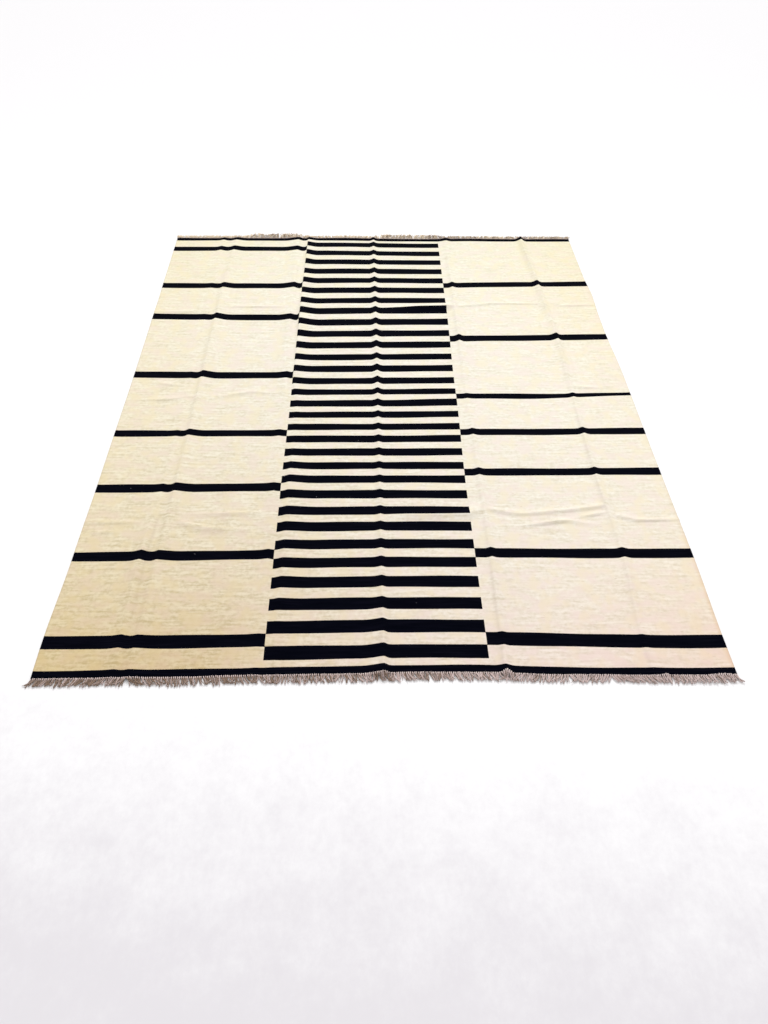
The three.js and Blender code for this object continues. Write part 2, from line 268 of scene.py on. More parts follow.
# Wrinkles across the cloth, where it was folded again: how far the far flank and the near flank
# reach, and the crest's places with its height there
WRINKLES = (
    (34, 28, table("x y rise", (-30, -592, 0), (70, -588, 5), (262, -583, 8), (300, -560, 4))),
    (24, 8, table(
        "x y rise",
        (290, -552, 3),
        (360, -575, 5),
        (417, -586, 4),
        (601, -565, 5),
        (690, -548, 5),
    )),
    (18, 6, table("x y rise", (400, -636, 0), (491, -624, 6), (549, -611, 6), (655, -634, 0))),
    (14, 6, table("x y rise", (585, -602, 0), (640, -588, 5.5), (705, -572, 2))),
    (18, 6, table("x y rise", (700, -584, 4), (771, -612, 5.6), (906, -608, 2))),
    (8, 28, table(
        "x y rise",
        (-675, -572, 3),
        (-608, -614, 5.5),
        (-536, -638, 5.5),
        (-410, -642, 1),
    )),
    (8, 20, table("x y rise", (-600, -582, 0), (-470, -577, 4), (-345, -573, 1))),
    (20, 9, table("x y rise", (-900, -617, 1), (-800, -618, 3.5), (-705, -618, 0))),
    (18, 9, table("x y rise", (-890, -657, 0), (-830, -657, 3), (-770, -657, 0))),
    (22, 9, table("x y rise", (-860, -33, 0), (-750, -33, 3.5), (-665, -13, 2))),
    (18, 8, table("x y rise", (-840, 66, 0), (-750, 54, 3), (-665, 40, 1))),
    (22, 10, table("x y rise", (-620, -34, 1), (-520, -3, 4), (-458, 15, 3.5), (-370, 2, 1))),
    (22, 12, table("x y rise", (90, 22, 0), (200, 24, 3), (300, 30, 1))),
    (18, 8, table("x y rise", (670, 60, 1), (755, 47, 4), (815, 47, 0))),
    (36, 30, table(
        "x y rise",
        (30, 566, 0),
        (100, 570, 3),
        (160, 573, 8),
        (285, 580, 12),
        (345, 588, 0),
    )),
    (22, 9, table("x y rise", (320, 580, 3), (470, 606, 4), (690, 609, 2.5))),
    (22, 8, table("x y rise", (700, 628, 2), (760, 595, 4), (900, 604, 2))),
    (24, 9, table("x y rise", (-900, 526, 1.5), (-780, 527, 3.5), (-665, 529, 1))),
    (22, 9, table("x y rise", (-655, 566, 1), (-500, 569, 4), (-340, 571, 1.5))),
)

# Number of the mark that each seam is, among the lines that the grid's columns keep to
SEAM_MARKS = (4, 7)

# Grid of the cloth: each stripe and each gap is shared into ROWS_PER_BAR rows, and each stretch
# between two creases, seams or edges into its own count of columns, closer at the creases
ROWS_PER_BAR = 8
COLUMNS_BETWEEN = (18, 8, 22, 6, 6, 22, 20, 8, 22, 16)
CLOSER_AT_CREASES = 0.75

# The profile of every crease: how blunt its crest is, and how its flanks sag
CREST_BLUNTNESS = 0.12
CREST_POWER = 1.6

# How sharply one crease takes over from another where they meet
MEETING_SHARPNESS = 4

# Fine unevenness. A stripe's edge ripples by two waves: each has a length, and a phase that is its
# own at each edge. The cloth cockles by three waves, of which two bend over longer ones
WEFT_RIPPLE = 0.9
RIPPLE_WAVES = ((37, 2.4), (71, 4.1))
COCKLE = 0.5
COCKLE_ACROSS = 61
COCKLE_ALONG = 83
COCKLE_SLANTED = 47
BEND_ACROSS = 1.3
BEND_ALONG = 1.7
BEND_LENGTHS = (190, 230)

# The selvedge: a raised cord in each side edge
SELVEDGE_WIDTH = 7
SELVEDGE_RISE = 0.9

# Depths inside black are kept within this many millimetres of a stripe's edge
INK_LIMIT = 8.0


def eased(rows, along, at, column):
    """One column of a table at places between its rows, turning softly at each row."""
    places = rows[along]
    after = np.clip(np.searchsorted(places, at), 1, len(places) - 1)
    share = np.clip((at - places[after - 1]) / (places[after] - places[after - 1]), 0, 1)
    share = share * share * (3 - 2 * share)
    return rows[column][after - 1] * (1 - share) + rows[column][after] * share


def crest_shape(away):
    """A crease's height from its crest, where away is 0, to the end of its flank, where it is 1."""
    blunt = CREST_BLUNTNESS
    away = (np.sqrt(away**2 + blunt**2) - blunt) / (math.sqrt(1 + blunt**2) - blunt)
    return np.clip(1 - away, 0, 1) ** CREST_POWER


def long_crease(crease, x, y):
    """The height of a crease that runs along the cloth."""
    off = x - eased(crease, "y", y, "x")
    reach = np.where(off < 0, eased(crease, "y", y, "left"), eased(crease, "y", y, "right"))
    return eased(crease, "y", y, "rise") * crest_shape(np.abs(off) / reach)


def wrinkle(far, near, crest, x, y):
    """The height of a wrinkle, which runs straight from each of its crest's places to the next."""
    height = np.zeros_like(x)
    for i in range(len(crest["x"]) - 1):
        off_x, off_y = x - crest["x"][i], y - crest["y"][i]
        run_x, run_y = crest["x"][i + 1] - crest["x"][i], crest["y"][i + 1] - crest["y"][i]
        length = math.hypot(run_x, run_y)
        share = np.clip((off_x * run_x + off_y * run_y) / length**2, 0, 1)
        away = np.hypot(off_x - share * run_x, off_y - share * run_y)
        beyond = (run_x * off_y - run_y * off_x) / length / np.maximum(away, 1e-6)
        reach = near + (far - near) * (1 + np.clip(beyond, -1, 1)) / 2
        rise = crest["rise"][i] * (1 - share) + crest["rise"][i + 1] * share
        height = np.maximum(height, rise * crest_shape(away / reach))
    return height


def cockle(x, y):
    """A slight unevenness all over, never below the floor."""
    over_y, over_x = BEND_LENGTHS
    waves = (
        np.sin(x / COCKLE_ACROSS + BEND_ACROSS * np.sin(y / over_y))
        + np.sin(y / COCKLE_ALONG + BEND_ALONG * np.sin(x / over_x + 2))
        + np.sin((x + y) / COCKLE_SLANTED + 4)
    )
    return COCKLE * (waves / 3 + 1) / 2


def lift(x, y):
    """How high the underside of the cloth stands above the floor."""
    heights = [long_crease(crease, x, y) for crease in LONG_CREASES]
    heights += [wrinkle(far, near, crest, x, y) for far, near, crest in WRINKLES]
    together = sum(height**MEETING_SHARPNESS for height in heights) ** (1 / MEETING_SHARPNESS)
    return together + cockle(x, y)


def painted_crease_shade(x, y):
    """The share of painted shade beside the creases' crests at a place of the cloth."""
    share = np.zeros_like(x)
    for crease, offset, line in CREASE_SHADE_LINES:
        away = np.abs(x - eased(crease, "y", y, "x") - offset)
        faded = np.clip(1 - away / CREASE_SHADE_REACH, 0, 1)
        share = np.maximum(share, eased(line, "y", y, "share") * faded)
    return share


def wander(x, y):
    """How far the weft lies beyond y at x, smooth in both directions."""
    rows = np.array([row for _, row in WEFT_WANDER], float)
    levels = [level for level, _ in WEFT_WANDER]
    at_places = [np.interp(y, levels, rows[:, k]) for k in range(len(WEFT_PLACES))]
    places = np.array(WEFT_PLACES, float)
    slopes = np.gradient(np.array(at_places), places, axis=0)
    after = np.clip(np.searchsorted(places, x), 1, len(places) - 1)
    gap = places[after] - places[after - 1]
    t = np.clip((x - places[after - 1]) / gap, 0, 1)
    values = np.array(at_places)
    index = np.indices(x.shape)
    before_value, after_value = (values[(k, *index)] for k in (after - 1, after))
    before_slope, after_slope = (slopes[(k, *index)] for k in (after - 1, after))
    return (
        before_value * (1 + 2 * t) * (1 - t) ** 2
        + after_value * t * t * (3 - 2 * t)
        + gap * before_slope * t * (1 - t) ** 2
        - gap * after_slope * t * t * (1 - t)
    )


def weft_ripple(x, bar):
    """Each edge of a stripe waves a little in its own way."""
    first, second = (np.sin(x / length + phase * bar) for length, phase in RIPPLE_WAVES)
    return WEFT_RIPPLE * (first + second) / 2


def bar_edges():
    """Places of all edges of bands and stripes along the middle of the centre column."""
    widths = [*NEAR_BAND]
    for black, cream in STRIPES:
        widths += [black, cream]
    widths.append(FAR_BAND)
    return NEAR_END + np.concatenate([[0], np.cumsum(widths)])


def shared(edges, counts, closer=0.0):
    """Fills each stretch between two edges with its count of steps, closer together at its ends."""
    places = [edges[0][None]]
    for start, end, count in zip(edges[:-1], edges[1:], counts):
        step = np.arange(1, count + 1) / count
        step = (1 - closer) * step + closer * (1 - np.cos(np.pi * step)) / 2
        step = step.reshape(-1, *[1] * start.ndim)
        places.append(start * (1 - step) + end * step)
    return np.concatenate(places)


def cloth_grid():
    """The cloth's grid on the floor: each crossing's x and y, and each row's place in the weave."""
    edges = bar_edges()
    weave = shared(edges, [ROWS_PER_BAR] * (len(edges) - 1))
    bar = np.arange(len(weave)) / ROWS_PER_BAR
    marks = [-WIDTH / 2 + eased(SIDE_EDGES, "y", weave, "left")]
    for mark, column in (
        (LEFT_OUTER, "x"),
        (LEFT_QUARTER, "x"),
        (LEFT_INNER, "x"),
        (SEAMS, "left"),
        (LEFT_SEAM, "x"),
        (CENTRE, "x"),
        (SEAMS, "right"),
        (RIGHT_INNER, "x"),
        (RIGHT_QUARTER, "x"),
    ):
        marks.append(eased(mark, "y", weave, column))
    marks.append(WIDTH / 2 + eased(SIDE_EDGES, "y", weave, "right"))
    x = shared(np.array(marks), COLUMNS_BETWEEN, CLOSER_AT_CREASES).T
    y = weave[:, None] + wander(x, np.broadcast_to(weave[:, None], x.shape))
    y = y + weft_ripple(x, np.round(bar)[:, None])
    return x, y, weave


def ink(weave, stripes):
    """How deep each row lies inside black, in millimetres: below zero in the cream."""
    edges = bar_edges()
    last = len(edges) - 2
    black = {0, last} | set(stripes)
    depth = np.full(len(weave), -INK_LIMIT)
    for bar in sorted(black):
        depth = np.maximum(depth, np.minimum(weave - edges[bar], edges[bar + 1] - weave))
    return np.clip(depth, -INK_LIMIT, INK_LIMIT)


def make_mesh(name, points, faces, material):
    """A mesh object from points in millimetres about the cloth's middle."""
    mesh = bpy.data.meshes.new(name)
    mesh.from_pydata((np.asarray(points) * MM + np.array(SHIFT)).tolist(), [], faces)
    mesh.shade_smooth()
    mesh.materials.append(material)
    made = bpy.data.objects.new(name, mesh)
    bpy.context.scene.collection.objects.link(made)
    return made


def add_values(mesh, name, values, domain="POINT"):
    """Gives each point or face corner of a mesh a number that its material reads by name."""
    attribute = mesh.attributes.new(name, "FLOAT", domain)
    attribute.data.foreach_set("value", np.asarray(values, np.float32))


def selvedge(x, y):
    """How far each point lies from the nearer side edge."""
    left = x + WIDTH / 2 - eased(SIDE_EDGES, "y", y, "left")
    right = WIDTH / 2 + eased(SIDE_EDGES, "y", y, "right") - x
    return np.minimum(left, right)


def make_cloth(material):
    """A closed sheet, with a fine top, an underside on every second row and column, and a rim."""
    x, y, weave = cloth_grid()
    rows, columns = x.shape
    edge = selvedge(x, y)
    middle = SELVEDGE_WIDTH / 2
    cord = SELVEDGE_RISE * np.clip(1 - np.abs(edge - middle) / middle, 0, 1)
    floor = lift(x, y)
    top = np.stack([x, y, floor + THICKNESS + cord], -1)
    under = np.stack([x, y, floor], -1)[::2, ::2]
    points = np.concatenate([top.reshape(-1, 3), under.reshape(-1, 3)])

    number = np.arange(rows * columns).reshape(rows, columns)
    below = rows * columns + np.arange(under.shape[0] * under.shape[1]).reshape(under.shape[:2])
    upper = np.stack([number[:-1, :-1], number[:-1, 1:], number[1:, 1:], number[1:, :-1]], -1)
    lower = np.stack([below[:-1, :-1], below[1:, :-1], below[1:, 1:], below[:-1, 1:]], -1)
    faces = upper.reshape(-1, 4).tolist() + lower.reshape(-1, 4).tolist()
    for fine, coarse in (
        (number[0], below[0]),
        (number[:, -1], below[:, -1]),
        (number[-1, ::-1], below[-1, ::-1]),
        (number[::-1, 0], below[::-1, 0]),
    ):
        for k in range(len(coarse) - 1):
            faces.append([int(i) for i in (
                coarse[k], coarse[k + 1], fine[2 * k + 2], fine[2 * k + 1], fine[2 * k],
            )])

    cloth = make_mesh("kilim_cloth", points, faces, material)
    mesh = cloth.data
    # The second of these values is painted shade in lines beside the long creases' crests
    for name, values in (("edge_mm", edge), ("painted_crease_shade", painted_crease_shade(x, y))):
        add_values(mesh, name, np.concatenate([values.ravel(), values[::2, ::2].ravel()]))
    add_ink(mesh, number, below, weave)
    return cloth


def add_ink(mesh, number, below, weave):
    """Each face corner gets the depth inside black that its own column of the pattern has there."""
    columns = number.shape[1]
    seams = np.cumsum((0, *COLUMNS_BETWEEN))[list(SEAM_MARKS)]
    centre = range(2, 2 * len(STRIPES) + 1, 2)
    depths = np.array([
        ink(weave, [2 * n + 1 for n in LEFT_STRIPES]),
        ink(weave, centre),
        ink(weave, [2 * n + 1 for n in RIGHT_STRIPES]),
    ])
    row_of = np.concatenate([
        np.repeat(np.arange(number.shape[0]), columns),
        np.repeat(np.arange(0, number.shape[0], 2), below.shape[1]),
    ])
    column_of = np.concatenate([
        np.tile(np.arange(columns), number.shape[0]),
        np.tile(np.arange(0, columns, 2), below.shape[0]),
    ])
    corners = np.empty(len(mesh.loops), np.int32)
    mesh.loops.foreach_get("vertex_index", corners)
    starts = np.empty(len(mesh.polygons), np.int32)
    mesh.polygons.foreach_get("loop_start", starts)
    sizes = np.diff(np.append(starts, len(corners)))
    middle = np.add.reduceat(column_of[corners], starts) / sizes
    part = np.repeat(np.searchsorted(seams, middle), sizes)
    add_values(mesh, "ink_mm", depths[part, row_of[corners]], "CORNER")


def node(tree, kind, inputs=(), **settings):
    """A shader node, with its settings, and its inputs linked or set."""
    made = tree.nodes.new(kind)
    for name, value in settings.items():
        setattr(made, name, value)
    for socket, value in dict(inputs).items():
        if isinstance(value, bpy.types.NodeSocket):
            tree.links.new(value, made.inputs[socket])
        else:
            made.inputs[socket].default_value = value
    return made


def calc(tree, operation, *values):
    return node(tree, "ShaderNodeMath", enumerate(values), operation=operation).outputs[0]


def times(tree, first, *others):
    """The product of all the values."""
    for other in others:
        first = calc(tree, "MULTIPLY", first, other)
    return first


def ramp(tree, value, low, high, to_low=0.0, to_high=1.0):
    """The value, moved softly from one range to another."""
    made = node(
        tree,
        "ShaderNodeMapRange",
        {0: value, 1: low, 2: high, 3: to_low, 4: to_high},
        interpolation_type="SMOOTHSTEP",
    )
    return made.outputs[0]


# The colour sockets of a mix node, which other sockets share their names with
MIX_FIRST = 6
MIX_SECOND = 7
MIX_RESULT = 2


def mixed(tree, share, first, second, **settings):
    """The first colour, with its share of the second."""
    inputs = {0: share, MIX_FIRST: first, MIX_SECOND: second}
    made = node(tree, "ShaderNodeMix", inputs, data_type="RGBA", **settings)
    return made.outputs[MIX_RESULT]


def noise(tree, place, stretch, detail=2.0, roughness=0.5):
    """Noise stretched along the axes: stretch is how many waves there are in a metre."""
    mapped = node(tree, "ShaderNodeMapping", {"Vector": place, "Scale": stretch})
    made = node(
        tree,
        "ShaderNodeTexNoise",
        {"Vector": mapped.outputs[0], "Scale": 1.0, "Detail": detail, "Roughness": roughness},
    )
    return made.outputs[0]


def attribute(tree, name):
    return node(tree, "ShaderNodeAttribute", attribute_name=name).outputs["Fac"]


def new_material(name):
    """A material, its nodes, its shader and the place on the object in metres."""
    material = bpy.data.materials.new(name)
    material.use_nodes = True
    tree = material.node_tree
    shader = tree.nodes["Principled BSDF"]
    place = node(tree, "ShaderNodeTexCoord").outputs["Object"]
    return material, tree, shader, place


def add_bump(tree, shader, height, strength, distance):
    inputs = {"Strength": strength, "Distance": distance, "Height": height}
    bump = node(tree, "ShaderNodeBump", inputs)
    tree.links.new(bump.outputs[0], shader.inputs["Normal"])


def specks(tree, place, per_metre, size, kept):
    """Scattered dots: how many in a metre, how wide, and the share of them that shows."""
    cells = node(tree, "ShaderNodeTexVoronoi", {"Vector": place, "Scale": per_metre})
    dot = ramp(tree, cells.outputs["Distance"], size * per_metre, size * per_metre / 2)
    chosen = node(tree, "ShaderNodeSeparateColor", {0: cells.outputs["Color"]}).outputs[0]
    return times(tree, dot, calc(tree, "LESS_THAN", chosen, kept))


# Pitch of the weave in metres: the warp makes ribs along the cloth, and the weft packs over them.
# Next to each rib the weft's bulges are offset by this phase, and they are lower than the ribs
WARP_PITCH = 0.0028
WEFT_PITCH = 0.0011
WEFT_OFFSET = 0.8
WEFT_BULGE = 0.6


def weave_height(tree, place):
    """Rows of small weft bulges, each row offset from the next by one warp."""
    split = node(tree, "ShaderNodeSeparateXYZ", {0: place})
    across = calc(tree, "SINE", times(tree, split.outputs[0], math.pi / WARP_PITCH))
    along = times(tree, split.outputs[1], math.pi / WEFT_PITCH)
    offset = calc(tree, "MULTIPLY_ADD", calc(tree, "SIGN", across), WEFT_OFFSET, along)
    rib = calc(tree, "ABSOLUTE", across)
    weft = calc(tree, "ABSOLUTE", calc(tree, "SINE", offset))
    return calc(tree, "ADD", rib, times(tree, weft, WEFT_BULGE))


# The black yarn covers this much more at each edge of a stripe, in millimetres. The edge frays by
# so much from yarn to yarn, and goes from cream to black over twice the softness
BLACK_SPREAD = 0.9
BLACK_FRAY = 1.6
BLACK_SOFTNESS = 0.25

# Colours of the wool, as linear red, green and blue
CREAM_PALE = (0.852, 0.84, 0.768, 1)
CREAM_TAN = (0.645, 0.6, 0.47, 1)
CREAM_PINK = (0.8, 0.725, 0.68, 1)
CREAM_STRAW = (0.8, 0.75, 0.595, 1)
SLUB = (0.56, 0.45, 0.33, 1)
# The colour of the painted shade beside the long creases' crests
CREASE_SHADE_COLOUR = (0.5, 0.45, 0.4, 1)
SELVEDGE_GOLD = (0.72, 0.58, 0.4, 1)
# The wool is a little yellower towards both sides and the far end, and pinker at the right of the
# near end. Towards the left of the near end it is darker and yellower, partly a tan in the wool and
# partly painted shade. These are the shares that its colour keeps there
SIDES_KEEP = (0.996, 0.96, 0.862, 1)
CORNER_SHADE_KEEPS = (0.755, 0.645, 0.455, 1)
RIGHT_KEEPS = (0.95, 0.83, 0.875, 1)
FAR_KEEPS = (1.0, 1.0, 0.945, 1)
# Where the tints and the painted shade lie, in metres: the corner's painted shade fades out from a
# point, and the pink from the end
CORNER = (-0.486, -1.15)
CORNER_REACH = 0.49
CORNER_STRETCH = 0.7
CORNER_CONTRAST = 1.5
RIGHT_REACH = 0.36
FAR_GROWS = (0.2, 1.15)
# The share of the sides' yellowing that the middle of the right side is spared. It fades out
# towards the far end, the near end and the cloth's middle, there by shares of half the width
RIGHT_SPARED = 0.45
SPARED_FAR = (0.5, -0.1)
SPARED_NEAR = (-1.0, -0.6)
SPARED_ASIDE = (0.2, 0.8)
# The golden tinge of the right edge, by millimetres from the edge and metres along the cloth
GOLD_SHARE = 0.45
GOLD_EDGE = (14, 3)
GOLD_ALONG = (-0.2, -1.0)

# The cream's grain, from tan to pale: each noise's weight, waves in a metre, detail and roughness
GRAIN = (
    (0.42, (75, 90, 1), 3, 0.6),
    (0.38, (15, 125, 1), 2, 0.5),
    (0.2, (5, 75, 1), 2, 0.5),
)
GRAIN_MIDDLE = 0.5
GRAIN_RANGE = (-0.28, 0.19)
# Its tints: each noise's waves in a metre, detail and range, and the colour with its highest share
TINTS = (
    ((16, 26, 1), 2, (0.42, 0.66), CREAM_PINK, 0.7),
    ((22, 18, 4), 2, (0.46, 0.68), CREAM_STRAW, 0.7),
    ((60, 330, 3), 1, (0.68, 0.8), SLUB, 0.6),
)

# Colours of the black yarn, and the range of the noise over which it is worn
BLACK = (0.0006, 0.0009, 0.0032, 1)
BLACK_WORN = (0.003, 0.003, 0.0075, 1)
WEAR_SHOWS = (0.42, 0.72)
LINT = (0.3, 0.3, 0.33, 1)
SPECK = (0.16, 0.1, 0.07, 1)


def painted_shade_and_tints(tree, place):
    """How much of each tint and of the corner's painted shade is at a place, with the share of the
    colour that each leaves.
    """
    split = node(tree, "ShaderNodeSeparateXYZ", {0: place})
    x, y = split.outputs[0], split.outputs[1]
    aside = times(tree, x, 2 / (WIDTH * MM))
    # The corner's painted shade, fading out from a point towards the left of the near end
    off_x = calc(tree, "MAXIMUM", calc(tree, "SUBTRACT", x, CORNER[0]), 0)
    off_y = calc(tree, "SUBTRACT", y, CORNER[1])
    long_y = times(tree, off_y, CORNER_STRETCH)
    square = calc(tree, "ADD", times(tree, off_x, off_x), times(tree, long_y, long_y))
    corner_shade = calc(tree, "EXPONENT", times(tree, calc(tree, "SQRT", square), -1 / CORNER_REACH))
    at_end = calc(tree, "EXPONENT", times(tree, off_y, -1 / RIGHT_REACH))
    to_right = calc(tree, "MULTIPLY_ADD", aside, 0.5, 0.5)
    spared = times(
        tree,
        ramp(tree, y, *SPARED_FAR),
        ramp(tree, y, *SPARED_NEAR),
        ramp(tree, aside, *SPARED_ASIDE, 0.0, RIGHT_SPARED),
    )
    by_sides = times(tree, aside, aside, calc(tree, "SUBTRACT", 1.0, spared))
    return (
        (by_sides, SIDES_KEEP),
        (corner_shade, CORNER_SHADE_KEEPS),
        (times(tree, at_end, to_right), RIGHT_KEEPS),
        (ramp(tree, y, *FAR_GROWS), FAR_KEEPS),
    )


def golden_edge(tree, place):
    """How golden a place is: only beside the right edge, more towards the near end."""
    split = node(tree, "ShaderNodeSeparateXYZ", {0: place})
    beside = ramp(tree, attribute(tree, "edge_mm"), *GOLD_EDGE, 0.0, GOLD_SHARE)
    near = ramp(tree, split.outputs[1], *GOLD_ALONG)
    at_right = calc(tree, "GREATER_THAN", split.outputs[0], 0.0)
    return times(tree, beside, times(tree, near, at_right))


def cream_wool(tree, place):
    """Cream yarn with short streaks and slubs along the weft, blotches, a few dark specks, and
    painted shade beside the creases and towards the left of the near end.
    """
    shade_and_tints = painted_shade_and_tints(tree, place)
    corner_shade = shade_and_tints[1][0]
    shade = 0.0
    for weight, stretch, detail, roughness in GRAIN:
        grain = noise(tree, place, stretch, detail, roughness)
        shade = calc(tree, "MULTIPLY_ADD", grain, weight, shade)
    contrast = calc(tree, "MULTIPLY_ADD", corner_shade, CORNER_CONTRAST, 1.0)
    shade = times(tree, calc(tree, "SUBTRACT", shade, GRAIN_MIDDLE), contrast)
    colour = mixed(tree, ramp(tree, shade, *GRAIN_RANGE), CREAM_TAN, CREAM_PALE)
    for stretch, detail, (low, high), tint, most in TINTS:
        share = ramp(tree, noise(tree, place, stretch, detail), low, high, 0.0, most)
        colour = mixed(tree, share, colour, tint)
    colour = mixed(tree, golden_edge(tree, place), colour, SELVEDGE_GOLD)
    # Painted shade in lines beside the long creases' crests
    colour = mixed(tree, attribute(tree, "painted_crease_shade"), colour, CREASE_SHADE_COLOUR)
    # The tints, and the painted shade towards the left of the near end, each multiplied in
    for share, keeps in shade_and_tints:
        colour = mixed(tree, share, colour, keeps, blend_type="MULTIPLY")
    dots = specks(tree, place, per_metre=8, size=0.003, kept=0.1)
    return mixed(tree, dots, colour, SPECK)


def black_wool(tree, place):
    """Black yarn, a little worn, with pale lint."""
    wear = noise(tree, place, (9, 260, 1), detail=3, roughness=0.65)
    colour = mixed(tree, ramp(tree, wear, *WEAR_SHOWS), BLACK, BLACK_WORN)
    lint = specks(tree, place, per_metre=38, size=0.0013, kept=0.1)
    return mixed(tree, lint, colour, LINT)


def woven_wool():
    """The cloth's material: black where the pattern is deeper than zero, and cream elsewhere."""
    material, tree, shader, place = new_material("woven_wool")
    frayed = noise(tree, place, (420, 900, 1), detail=1)
    inside = calc(tree, "SUBTRACT", attribute(tree, "ink_mm"), BLACK_FRAY / 2)
    depth = calc(tree, "MULTIPLY_ADD", frayed, BLACK_FRAY, inside)
    black = ramp(tree, depth, -BLACK_SPREAD - BLACK_SOFTNESS, -BLACK_SPREAD + BLACK_SOFTNESS)
    colour = mixed(tree, black, cream_wool(tree, place), black_wool(tree, place))
    tree.links.new(colour, shader.inputs["Base Color"])
    shader.inputs["Roughness"].default_value = 0.95
    shader.inputs["Specular IOR Level"].default_value = 0.02
    fuzz = noise(tree, place, (300, 900, 1), detail=2)
    relief = calc(tree, "ADD", weave_height(tree, place), fuzz)
    add_bump(tree, shader, relief, strength=0.6, distance=0.0003)
    return material


# Fringe: plied yarns, and thinner frayed ones among them, each kind spread evenly along the ends.
# Its lengths are shares of the fringe's, its taper is the share of thickness lost at the tips, and
# level is how high its yarns may lie over the floor. Curl and stray are how far they bend and lean
# by themselves, and knotted is 1 for yarns whose roots show as knots on the cloth
YARNS = table(
    "pitch radius taper length level curl stray knotted",
    (5, 2.25, 0.2, 1, 0, 0.6, 0.12, 1),
    (5.3, 1.3, 0.4, 0.95, 3, 0.9, 0.28, 0),
)
YARN_SIDES = 6
YARN_STEPS = 13
YARN_TWIST = 9
# The two plies make a yarn's section lobed: its radius waves about a middle one
LOBE_MIDDLE = 0.85
LOBE_DEPTH = 0.22
# A yarn starts to fall this far inside the cloth's edge, with its middle this share of its radius
# over the cloth. It reaches the floor after this stretch, and later where a crease lifts the cloth
ROOT_OVERLAP = 2.8
ROOT_RISE = 0.4
FALL_REACH = 9
# On its way out a yarn bends aside, waves a little, and reaches less far the more it leans. Its
# middle comes no nearer to the floor than this share of its radius
BEND_SHARE = 0.4
WAVE_TURN = 5
LEAN_SHORTENS = 0.3
LEAN_LIMIT = 1.2
BEND_LEANS = 0.5
FLOOR_REST = 0.9
# Yarns stand in from the cloth's corners, and each one's place, length and thickness vary a little
CORNER_INSET = 2
PLACE_SPREAD = 0.4
SIZE_SPREAD = 0.07
# Yarns gather in tufts this wide. In the first share of its length, its knot, a yarn is a little
# thinner, and its tip is thinner still
TUFT = 17
KNOT_WIDTH = 0.86
KNOT_SHARE = 0.17
TIP_WIDTH = 0.45
# Frayed yarns are darker, and their colours start this far along, past those of the pale roots
FRAYED_DARKER = 0.15
FRAYED_START = 0.3

# Clumps of each fringe: each starts at x, and its yarns lean to the right by these shares of their
# length at its two ends. A gap opens where one clump leans left and the next one right
NEAR_CLUMPS = table(
    "x first last",
    (-906, -0.5, -0.35),
    (-850, -0.35, -0.45),
    (-665, 0.6, 0.1),
    (-545, 0.1, 0.35),
    (-316, 0.25, -0.35),
    (-257, 0.35, -0.25),
    (-122, 0.3, 0.05),
    (15, 0.05, 0.3),
    (85, 0.15, 0.25),
    (150, 0.15, 0.25),
    (296, 0.1, -0.3),
    (335, -0.3, -0.3),
    (462, 0.6, -0.1),
    (492, -0.1, -0.5),
    (570, 0.65, 0.3),
    (714, 0.2, 0.3),
    (845, 0.3, 0.4),
    (905, 0.4, 0.4),
)
FAR_CLUMPS = table(
    "x first last",
    (-906, -0.4, -0.2),
    (-800, 0.3, 0.1),
    (-575, 0.3, -0.3),
    (-500, 0.4, -0.1),
    (-440, 0.3, -0.3),
    (-340, 0.2, -0.2),
    (-200, 0.3, 0.1),
    (-60, 0.2, -0.2),
    (20, 0.4, 0.0),
    (90, 0.3, -0.3),
    (180, 0.4, -0.1),
    (300, 0.2, 0.0),
    (400, 0.3, 0.1),
    (560, -0.2, 0.2),
    (730, 0.3, 0.4),
    (905, 0.5, 0.5),
)
# Length of the fringe at places along each end, how far its yarns arch up, how dark they are, how
# far those of one tuft draw together, and how far they start inside the cloth's edge
NEAR_LENGTHS = table(
    "x length arch dark gather inside",
    (-900, 24, 1, 0.26, 0.15, 3),
    (-300, 25, 1, 0.2, 0.15, 3),
    (0, 25, 1, 0, 0.15, 3),
    (290, 23, 2, -0.25, 0.15, 3),
    (303, 24, 3, -0.25, 0.2, 10),
    (318, 23, 2, -0.3, 0.15, 3),
    (700, 25, 1, -0.35, 0.15, 3),
    (714, 25, 2, -0.35, 0.2, 8),
    (730, 25, 1, -0.35, 0.15, 3),
    (825, 24, 3, -0.35, 0.15, 3),
    (862, 24, 3, -0.35, 0.2, 8),
    (900, 24, 3, -0.35, 0.15, 4),
)
FAR_LENGTHS = table(
    "x length arch dark gather inside",
    (-900, 26, 2, -0.5, 0.3, 3),
    (-590, 26, 2, -0.42, 0.3, 3),
    (-560, 40, 8, -0.1, 1, 3),
    (-350, 40, 8, -0.1, 1, 3),
    (-320, 23, 3, -0.42, 0.3, 3),
    (0, 23, 3, -0.35, 0.3, 3),
    (40, 38, 8, -0.1, 1, 3),
    (280, 38, 8, -0.1, 1, 3),
    (320, 26, 3, -0.1, 0.3, 3),
    (900, 27, 3, -0.1, 0.3, 3),
)


